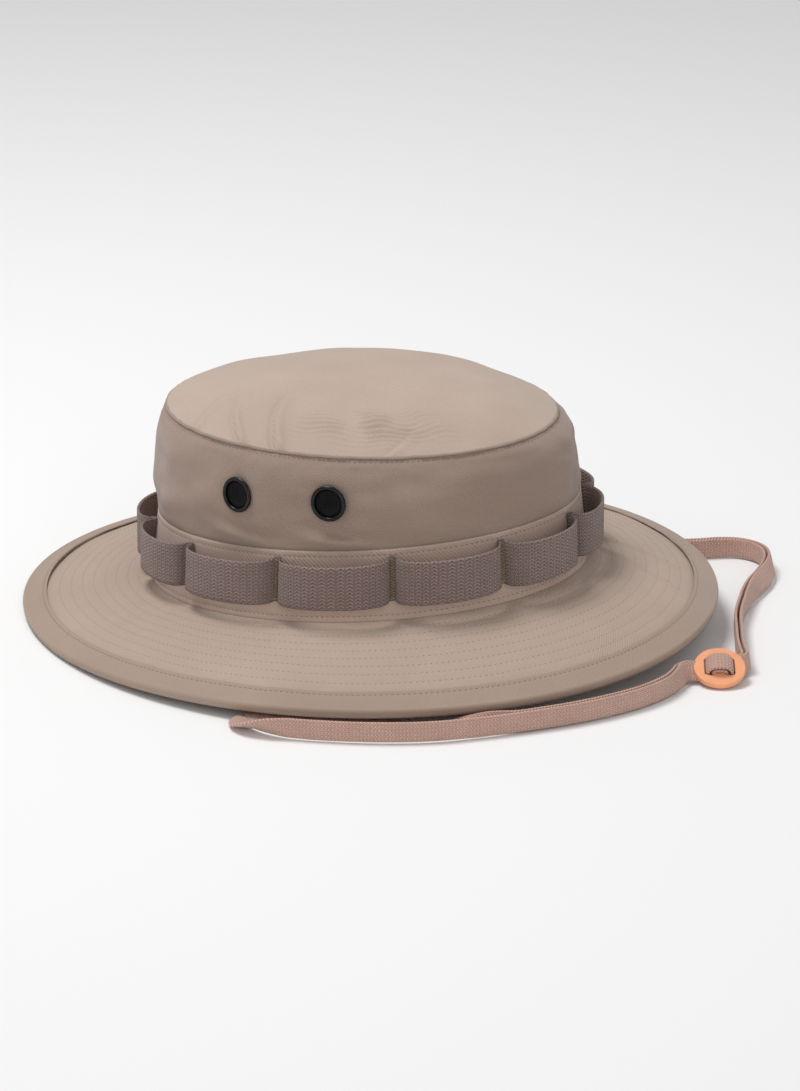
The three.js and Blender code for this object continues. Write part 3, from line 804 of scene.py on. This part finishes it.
def build_tacks():
    """Each bar tack is a close zigzag of thread where the CAD tack is."""
    for i in range(LOOPS):
        node = f"bar_tack_{i + 1}"
        t = i * LOOP_ANGLE
        outward = Vector((math.cos(t), math.sin(t) * HEAD_LENGTH / HEAD_WIDTH, 0)).normalized()
        radius = WEBBING_INNER + WEBBING_THICKNESS + GAP
        line = []
        for k in range(2 * TACK_TURNS + 1):
            done = k / (2 * TACK_TURNS)
            height = lerp(WEBBING_FOOT + 1, WEBBING_FOOT + WEBBING_WIDTH - 1, done)
            middle = hat_point(t, radius - BAND_LEAN * (height - HEADLINE) + 0.1, height)
            swing = TACK_HALF_WIDTH if k % 2 else -TACK_HALF_WIDTH
            line.append(middle + Vector((-outward.y, outward.x, 0)) * swing)
        tack = thread_tube(f"tack_thread_{i + 1}", line, 0.36, TACK_THREAD, outward)
        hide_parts(node)


def thread_tube(name, line, radius, material, outward, sides=6):
    """A thread of round section through a line of points."""
    points, faces, uvs = [], [], []
    for i, point in enumerate(line):
        before, after = line[max(i - 1, 0)], line[min(i + 1, len(line) - 1)]
        along = (after - before).normalized()
        side = along.cross(outward).normalized()
        up = side.cross(along)
        for k in range(sides):
            angle = 2 * math.pi * k / sides
            points.append(point + (side * math.cos(angle) + up * math.sin(angle)) * radius)
            uvs.append((i, k))
    faces = grid(len(line), sides, False, True)
    faces.append(list(range(sides))[::-1])
    faces.append([(len(line) - 1) * sides + k for k in range(sides)])
    return make_object(name, points, faces, uvs, material)


# ---- vents ----
def vent_frame(t):
    """Middle of a vent on the wall, with the directions outward, sideways and up the wall."""
    def face(angle, height):
        return hat_point(angle, shoulder_radius(height), height)
    along = (face(t + 0.01, VENT_HEIGHT) - face(t - 0.01, VENT_HEIGHT)).normalized()
    rising = (face(t, VENT_HEIGHT + 1) - face(t, VENT_HEIGHT - 1)).normalized()
    return face(t, VENT_HEIGHT), along.cross(rising).normalized(), along, rising


def turned_piece(name, profile, t, material, node):
    """A lathed piece on a vent's axis, from (radius, outward) points of a closed profile."""
    middle, outward, along, rising = vent_frame(t)
    sides = 64
    points, uvs = [], []
    for i in range(sides):
        angle = 2 * math.pi * i / sides
        spoke = along * math.cos(angle) + rising * math.sin(angle)
        for radius, out in profile:
            points.append(middle + spoke * radius + outward * out)
            uvs.append((radius * math.cos(angle), radius * math.sin(angle)))
    faces = grid(sides, len(profile), True, True)
    piece = make_object(name, points, faces, uvs, material)
    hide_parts(node)


def build_vents():
    """An eyelet with a rolled rim, a gauze disc across its bore and a washer behind the wall."""
    flange = VENT_DIAMETER / 2
    crest = (flange + BORE) / 2
    sleeve_end = -3.6
    seat = 0.2
    step_outer, step_inner = 4.6, 4.2
    washer_front, washer_back = -1.6, -2.2
    rim = [(BORE, sleeve_end), (BARREL, sleeve_end), (BARREL, seat), (flange - 0.3, seat)]
    for i in range(9):
        angle = math.pi * i / 8
        rim.append((crest + (flange - crest) * math.cos(angle), 0.5 + 1.0 * math.sin(angle)))
    disc = [
        (0.05, -0.3), (BORE, -0.3), (BORE, seat), (step_outer, seat), (step_inner, -0.1),
        (0.05, -0.1),
    ]
    washer = [
        (BARREL + 0.3, washer_front), (BARREL + 0.3, washer_back),
        (flange - 0.4, washer_back), (flange - 0.4, washer_front),
    ]
    for i, angle in enumerate(VENT_ANGLES):
        t = math.radians(angle)
        number = i + 1
        turned_piece(f"vent_rim_{number}", rim, t, BLACK_ENAMEL, f"vent_eyelet_{number}")
        turned_piece(f"vent_gauze_{number}", disc, t, BLACK_GAUZE, f"vent_screen_{number}")
        turned_piece(f"vent_back_{number}", washer, t, BLACK_ENAMEL, f"vent_washer_{number}")


# ---- chin lace and keeper ----
# Each control is (x, y, tilt) with the lace lying on the surface at that tilt, or
# (x, y, tilt, height) where it hangs clear. The route is the CAD model's.
FACE_GAP = 0.7
STRAND_OFFSET = (LACE_THICKNESS + FACE_GAP) / 2
LYING_GAP = 0.4
LEFT_LEAD = [
    (0, 80.8, 0, 33), (0, 81, 0, 25), (0, 82, 0, 17), (2, 86.5, 0, 10.5), (12, 95, -15, 6.5),
    (30, 105.5, -50, 5), (50, 111.5, -80), (72, 115, -90), (91, 121, -90),
]
RIGHT_LEAD = [
    (0, -80.8, 0, 33), (0, -80.8, 0, 25), (0, -78.5, 0, 16), (2, -72, 0, 8), (9, -58, 0, 3),
    (18, -38, 0), (28, -10, 0), (38, 20, 0), (48, 50, 0), (56, 72, -15), (65, 91, -45),
    (77, 105, -80), (93.5, 116.5, -90),
]
FAR_RUN = [
    (108, 129, -90), (116, 135.2, -90), (124, 138.7, -90), (132, 138.3, -90), (139, 134.5, -88),
    (144.5, 127.5, -80), (148.5, 118, -65), (150.5, 107, -55), (151.5, 96, -60), (153, 84, -75),
    (156, 69, -90), (161.5, 51, -90), (169, 34, -90), (175, 21, -90), (180.5, 11, -88),
    (184.5, 4, -80),
]
NEAR_RUN = [
    (165.4, -19, -60), (165.6, -27, -75), (165, -35, -88), (163, -44, -90), (159, -55, -90),
    (154, -64.5, -90), (148.8, -73, -90), (143, -81.3, -90), (135, -91, -90), (125, -102, -90),
]
FRONT_STRAND = [
    (113, -115.5, -90), (100, -127, -90), (85, -136.5, -90), (68, -144.5, -90), (53, -150, -90),
    (42, -153.2, -95), (33, -155, -120), (25, -155, -150), (19.5, -152.8, -172),
    (16.5, -148.8, -180), (16.8, -144.4, -180),
]
TUCKED_STRAND = [
    (116, -107.2, -72), (108, -112.8, -42), (99.5, -117, -18), (90, -119.5, -5),
    (75, -122.5, 0), (57, -128, 0), (42, -132.5, 0), (29, -136.3, 0), (20.5, -140, 0),
]
# The route under the hat is a guess, not that of a real lace.
KEEPER_THICKNESS = 2.4
KEEPER_DIAMETER = 22.5
KEEPER_BEVEL = 0.35
KEEPER_CENTRE = Vector((178.2, -10, 5.95))
KEEPER_TRAVEL = Vector((-0.889, -0.459, 0)).normalized()
KEEPER_LEAN = Vector((0.19, -0.369, 0.91))
KEEPER_NORMAL = (KEEPER_LEAN - KEEPER_TRAVEL * KEEPER_LEAN.dot(KEEPER_TRAVEL)).normalized()
KEEPER_ACROSS = KEEPER_NORMAL.cross(KEEPER_TRAVEL)
BRIDGE_HALF = 1.8
SLOT_WIDTH = 4.9
SLOT_LENGTH = LACE_WIDTH + 1.2
SLOT_MIDDLE = BRIDGE_HALF + SLOT_WIDTH / 2
OVER = KEEPER_THICKNESS / 2 + STRAND_OFFSET + LACE_THICKNESS / 2 + LYING_GAP
UNDER = 2.2
HUMP_HALF = [
    (0, OVER), (2.6, OVER - 0.3), (SLOT_MIDDLE - 0.4, 1.8), (SLOT_MIDDLE, 0), (SLOT_MIDDLE, -UNDER),
]
HUMP = [(-along, above) for along, above in HUMP_HALF[:0:-1]] + HUMP_HALF


def lying_height(tilt, offset):
    standing = LACE_WIDTH / 2 * abs(math.sin(math.radians(tilt)))
    flat = (LACE_THICKNESS / 2 + abs(offset)) * abs(math.cos(math.radians(tilt)))
    return standing + flat + LYING_GAP


def beside(points, offsets, width_at):
    """Stations of (point, width direction), each moved sideways out of the lace's face."""
    stations = []
    for i, point in enumerate(points):
        before, after = points[max(i - 1, 0)], points[min(i + 1, len(points) - 1)]
        along = (after - before).normalized()
        width = width_at(along, i)
        stations.append((point + along.cross(width) * offsets[i], width))
    return stations


def strand(*runs):
    controls = [(control, offset) for run, offset in runs for control in run]
    points = []
    for control, offset in controls:
        height = control[3] if len(control) > 3 else lying_height(control[2], offset)
        points.append(Vector((control[0], control[1], height)))

    def width_at(along, i):
        level = Vector((along.y, -along.x, 0)).normalized()
        return Matrix.Rotation(math.radians(controls[i][0][2]), 3, along) @ level

    return beside(points, [offset for _, offset in controls], width_at)


def hump(offset):
    points = [KEEPER_CENTRE + KEEPER_TRAVEL * a + KEEPER_NORMAL * b for a, b in HUMP]
    return beside(points, [offset] * len(points), lambda along, i: -KEEPER_ACROSS)


def slot_end(side, offset):
    """Where a strand passes into the keeper's slot: 0 on the far side and -1 on the near."""
    return [hump(offset)[side]]


def smooth(stations, spacing):
    """The stations' line as a close one, by a centripetal Catmull-Rom curve."""
    line = []
    points = [point for point, _ in stations]
    padded = [2 * points[0] - points[1]] + points + [2 * points[-1] - points[-2]]
    for i in range(len(points) - 1):
        p = padded[i:i + 4]
        knots = [0.0]
        for a, b in zip(p, p[1:]):
            knots.append(knots[-1] + max((b - a).length, 1e-6) ** 0.5)
        count = max(2, round((p[2] - p[1]).length / spacing))
        for k in range(count + (i == len(points) - 2)):
            part = k / count
            u = lerp(knots[1], knots[2], part)
            tier = list(p)
            for level in (1, 2):
                tier = [
                    tier[j] * ((knots[j + level] - u) / (knots[j + level] - knots[j]))
                    + tier[j + 1] * ((u - knots[j]) / (knots[j + level] - knots[j]))
                    for j in range(len(tier) - 1)
                ]
            point = tier[0] * ((knots[2] - u) / (knots[2] - knots[1])) + tier[1] * (
                (u - knots[1]) / (knots[2] - knots[1])
            )
            width = stations[i][1].lerp(stations[i + 1][1], part).normalized()
            line.append((point, width))
    return line


def ribbon(name, stations, body, spacing=1.2):
    """A flat braided lace with soft round edges along stations of (point, width direction)."""
    line = smooth(stations, spacing)
    half, thick = LACE_WIDTH / 2, LACE_THICKNESS / 2
    section = []
    for i in range(20):
        angle = 2 * math.pi * i / 20
        across = math.copysign(abs(math.cos(angle)) ** 0.35, math.cos(angle)) * half
        depth = math.copysign(abs(math.sin(angle)) ** 0.7, math.sin(angle)) * thick
        ribbed = 1 + 0.08 * math.cos(across * 2 * math.pi / 2.2)
        section.append((across, depth * ribbed))
    points, uvs = [], []
    travelled = 0.0
    for i, (point, width) in enumerate(line):
        before, after = line[max(i - 1, 0)][0], line[min(i + 1, len(line) - 1)][0]
        along = (after - before).normalized()
        across = (width - along * width.dot(along)).normalized()
        face = across.cross(along)
        if i:
            travelled += (point - line[i - 1][0]).length
        wobble = 0.18 * soft_noise(point, 14, 3.0)
        for a, d in section:
            points.append(point + across * a * (1 + 0.03 * wobble) + face * d)
            uvs.append((a, travelled))
    sides = len(section)
    faces = grid(len(line), sides, False, True)
    faces.append(list(range(sides))[::-1])
    faces.append([(len(line) - 1) * sides + k for k in range(sides)])
    lace = make_object(name, points, faces, uvs, LACE_TAN, body)
    return lace, [point * MM for point, _ in line]


def blend_to_keeper(piece):
    """Bakes the piece's placement into its mesh."""
    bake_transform(piece)


def build_keeper():
    """A disc of leather with two slots, its edges softened."""
    outline = bpy.data.curves.new("keeper_outline", "CURVE")
    outline.dimensions = "2D"
    outline.fill_mode = "BOTH"
    outline.extrude = (KEEPER_THICKNESS / 2 - KEEPER_BEVEL) * MM
    outline.bevel_depth = KEEPER_BEVEL * MM
    outline.bevel_resolution = 3
    edge = [(KEEPER_DIAMETER / 2 - KEEPER_BEVEL, 2 * math.pi * i / 72) for i in range(72)]
    add_loop(outline, [(r * math.cos(a), r * math.sin(a)) for r, a in edge])
    straight = SLOT_LENGTH / 2 - 1
    for side in (-1, 1):
        slot = []
        for end in (1, -1):
            for i in range(13):
                angle = math.pi * i / 12 + (0 if end == 1 else math.pi)
                slot.append((
                    side * SLOT_MIDDLE + (SLOT_WIDTH / 2 + 0.3) * math.cos(angle),
                    end * straight + 1.3 * math.sin(angle),
                ))
        add_loop(outline, slot)
    shape = bpy.data.objects.new("keeper_shape", outline)
    bpy.context.scene.collection.objects.link(shape)
    bpy.context.view_layer.update()
    solid = shape.evaluated_get(bpy.context.evaluated_depsgraph_get())
    mesh = bpy.data.meshes.new_from_object(solid)
    bpy.data.objects.remove(shape)
    basis = Matrix((KEEPER_TRAVEL, KEEPER_ACROSS, KEEPER_NORMAL)).transposed().to_4x4()
    mesh.transform(Matrix.Translation(KEEPER_CENTRE * MM) @ basis)
    mesh.materials.clear()
    mesh.materials.append(KEEPER_LEATHER)
    keeper = bpy.data.objects.new("keeper_disc", mesh)
    bpy.context.scene.collection.objects.link(keeper)
    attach(keeper, "keeper_slider")
    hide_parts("keeper")
    return keeper


def add_loop(curve, points):
    spline = curve.splines.new("POLY")
    spline.points.add(len(points) - 1)
    for place, (x, y) in zip(spline.points, points):
        place.co = (x * MM, y * MM, 0, 1)
    spline.use_cyclic_u = True


def build_lace():
    keeper = build_keeper()
    outer, _ = ribbon("lace_over_outer", hump(-STRAND_OFFSET), "keeper_slider", 0.6)
    inner, _ = ribbon("lace_over_inner", hump(STRAND_OFFSET), "keeper_slider", 0.6)
    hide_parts("lace_bridge_outer")
    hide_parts("lace_bridge_inner")

    stations = strand((LEFT_LEAD, 0), (FAR_RUN, -STRAND_OFFSET)) + slot_end(0, -STRAND_OFFSET)
    left, path = ribbon("lace_left_strand", stations, None)
    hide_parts("lace_left")
    blend_to_keeper(left)

    stations = strand((RIGHT_LEAD, 0), (FAR_RUN, STRAND_OFFSET)) + slot_end(0, STRAND_OFFSET)
    right, path = ribbon("lace_right_strand", stations, None)
    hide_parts("lace_right")
    blend_to_keeper(right)

    front = strand((NEAR_RUN, -STRAND_OFFSET), (FRONT_STRAND, 0))
    front_half, path = ribbon("lace_loop_front", slot_end(-1, -STRAND_OFFSET) + front, None)
    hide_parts("lace_loop")
    blend_to_keeper(front_half)

    tucked = strand((NEAR_RUN, STRAND_OFFSET), (TUCKED_STRAND, 0))
    back = [front[-1]] + tucked[::-1] + slot_end(-1, STRAND_OFFSET)
    back_half, path = ribbon("lace_loop_tucked", back, None)
    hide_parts("lace_loop")
    blend_to_keeper(back_half)


# ---- stage ----
LIGHT_AIM = (0, 0, 0.05)
FLOOR_HALF = 4
FLOOR_HEIGHT = -0.0004


def add_light(name, size, power, place):
    light = bpy.data.objects.new(name, bpy.data.lights.new(name, "AREA"))
    light.data.size = size
    light.data.energy = power
    light.location = place
    light.rotation_euler = (Vector(LIGHT_AIM) - Vector(place)).to_track_quat("-Z", "Y").to_euler()
    bpy.context.scene.collection.objects.link(light)


def add_stage():
    mesh = bpy.data.meshes.new("floor")
    corners = [(x * FLOOR_HALF, y * FLOOR_HALF, 0) for x, y in ((-1, -1), (1, -1), (1, 1), (-1, 1))]
    mesh.from_pydata(corners, [], [(0, 1, 2, 3)])
    paper = Nodes("paper", 0.95, Specular_IOR_Level=0.05)
    mesh.materials.append(paper.finish((0.93, 0.93, 0.93, 1)))
    floor = bpy.data.objects.new("floor", mesh)
    floor.location.z = FLOOR_HEIGHT
    bpy.context.scene.collection.objects.link(floor)
    add_light("overhead", 0.6, 16.5, (-0.5, -0.1, 1.62))
    add_light("front", 1.0, 4, (1.1, -1.3, 0.8))
    world = bpy.data.worlds.new("studio")
    world.use_nodes = True
    world.node_tree.nodes["Background"].inputs[0].default_value = (1, 1, 1, 1)
    world.node_tree.nodes["Background"].inputs[1].default_value = 0.46
    bpy.context.scene.world = world
    bpy.context.scene.view_settings.view_transform = "Standard"


add_camera()
build_lace()
build_brim()
build_binding()
build_crown_side()
build_crown_top()
build_seam_ridge()
build_band()
build_sweatband()
build_webbing()
build_tacks()
build_vents()
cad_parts["brim_interlining"].data.materials.clear()
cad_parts["brim_interlining"].data.materials.append(PLAIN_CANVAS)
add_stage()

bpy.context.view_layer.update()
